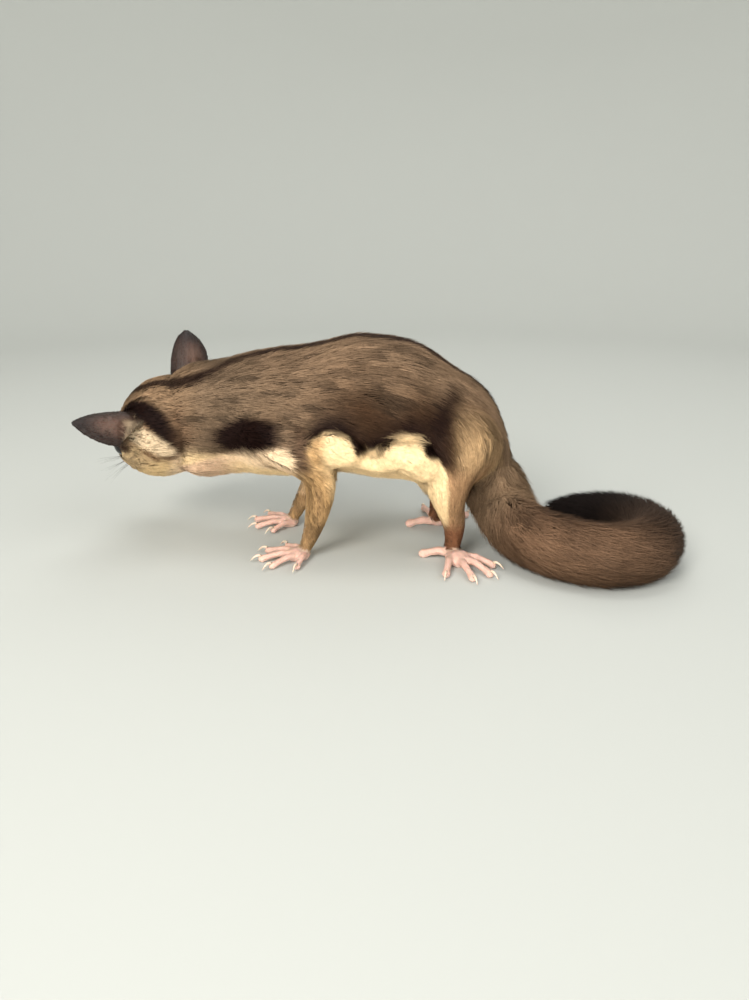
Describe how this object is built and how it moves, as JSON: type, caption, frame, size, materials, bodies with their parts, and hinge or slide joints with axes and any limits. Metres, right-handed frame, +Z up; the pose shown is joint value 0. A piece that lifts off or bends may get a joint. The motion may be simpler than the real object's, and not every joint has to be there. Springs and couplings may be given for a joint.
{
  "type": "sugar glider",
  "caption": "Life-size still model of a sugar glider that stands with arched back, head bent down to its right and tail laid on the floor.",
  "frame": {"origin": "on the floor, under the middle of the whole animal's bounding box", "axes": "+Z up, the animal's head towards -X and its left side towards -Y"},
  "size_m": [0.1726, 0.0708, 0.0647],
  "materials": {
    "fur": "matt",
    "pale_fur": "matt",
    "dark_fur": "matt",
    "ear_skin": "matt",
    "nose_skin": "satin",
    "foot_skin": "satin",
    "claw": "satin",
    "eye": "gloss"
  },
  "bodies": {
    "root": {"chest": "fur", "ear_left": "ear_skin", "ear_right": "ear_skin", "eye_left": "eye", "eye_right": "eye", "foreclaw_left_1": "claw", "foreclaw_left_2": "claw", "foreclaw_left_3": "claw", "foreclaw_left_4": "claw", "foreclaw_left_5": "claw", "foreclaw_right_1": "claw", "foreclaw_right_2": "claw", "foreclaw_right_3": "claw", "foreclaw_right_4": "claw", "foreclaw_right_5": "claw", "forefoot_left": "foot_skin", "forefoot_right": "foot_skin", "foreleg_left": "fur", "foreleg_right": "fur", "head": "fur", "hindclaw_left_1": "claw", "hindclaw_left_2": "claw", "hindclaw_left_3": "claw", "hindclaw_left_4": "claw", "hindclaw_right_1": "claw", "hindclaw_right_2": "claw", "hindclaw_right_3": "claw", "hindclaw_right_4": "claw", "hindfoot_left": "foot_skin", "hindfoot_right": "foot_skin", "hindleg_left": "fur", "hindleg_right": "fur", "loin": "fur", "membrane_left": "pale_fur", "membrane_right": "pale_fur", "neck": "fur", "nose": "nose_skin", "rump": "fur", "tail_end": "fur", "tail_middle": "fur", "tail_root": "fur", "tail_tip": "dark_fur"}
  },
  "joints": []
}
